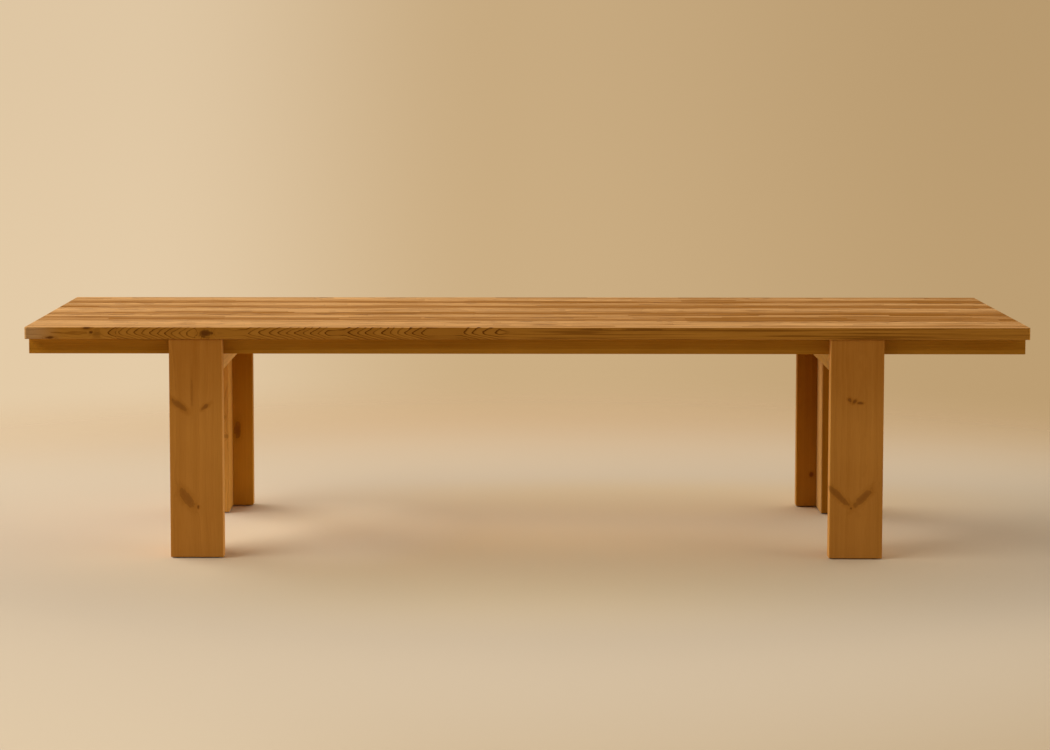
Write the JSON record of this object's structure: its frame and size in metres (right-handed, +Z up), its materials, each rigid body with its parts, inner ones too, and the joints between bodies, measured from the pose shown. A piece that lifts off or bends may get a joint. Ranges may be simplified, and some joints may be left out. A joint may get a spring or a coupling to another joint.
{
  "type": "outdoor dining table",
  "caption": "Long fixed outdoor dining table in solid softwood: board top with open gaps, two long rails, crossbeams and broad T-shaped board legs.",
  "frame": {"origin": "on the floor under the middle of the top", "axes": "+X along the table to the right, -Y towards the front, +Z up"},
  "size_m": [3.2, 1, 0.745],
  "materials": {
    "top_wood": "oiled, satin",
    "frame_wood": "oiled, satin",
    "batten_wood": "sawn and oiled",
    "screw_steel": "plain stainless",
    "bolt_steel": "zinc plated",
    "glide_plastic": "matt"
  },
  "bodies": {
    "root": {"top_board_1": "top_wood", "top_board_2": "top_wood", "top_board_3": "top_wood", "top_board_4": "top_wood", "top_board_5": "top_wood", "front_rail": "frame_wood", "back_rail": "frame_wood", "left_crossbeam": "frame_wood", "right_crossbeam": "frame_wood", "front_left_leg_board": "frame_wood", "front_right_leg_board": "frame_wood", "back_left_leg_board": "frame_wood", "back_right_leg_board": "frame_wood", "front_left_leg_web": "frame_wood", "front_right_leg_web": "frame_wood", "back_left_leg_web": "frame_wood", "back_right_leg_web": "frame_wood", "left_end_batten": "batten_wood", "left_batten": "batten_wood", "centre_batten": "batten_wood", "right_batten": "batten_wood", "right_end_batten": "batten_wood", "left_cleat": "batten_wood", "right_cleat": "batten_wood", "batten_screws": "screw_steel", "cleat_screws": "screw_steel", "crossbeam_screws": "screw_steel", "rail_screws": "screw_steel", "leg_screws": "screw_steel", "leg_bolts": "bolt_steel", "bolt_washers": "bolt_steel", "bolt_nuts": "bolt_steel", "front_left_glides": "glide_plastic", "front_right_glides": "glide_plastic", "back_left_glides": "glide_plastic", "back_right_glides": "glide_plastic"}
  },
  "joints": []
}
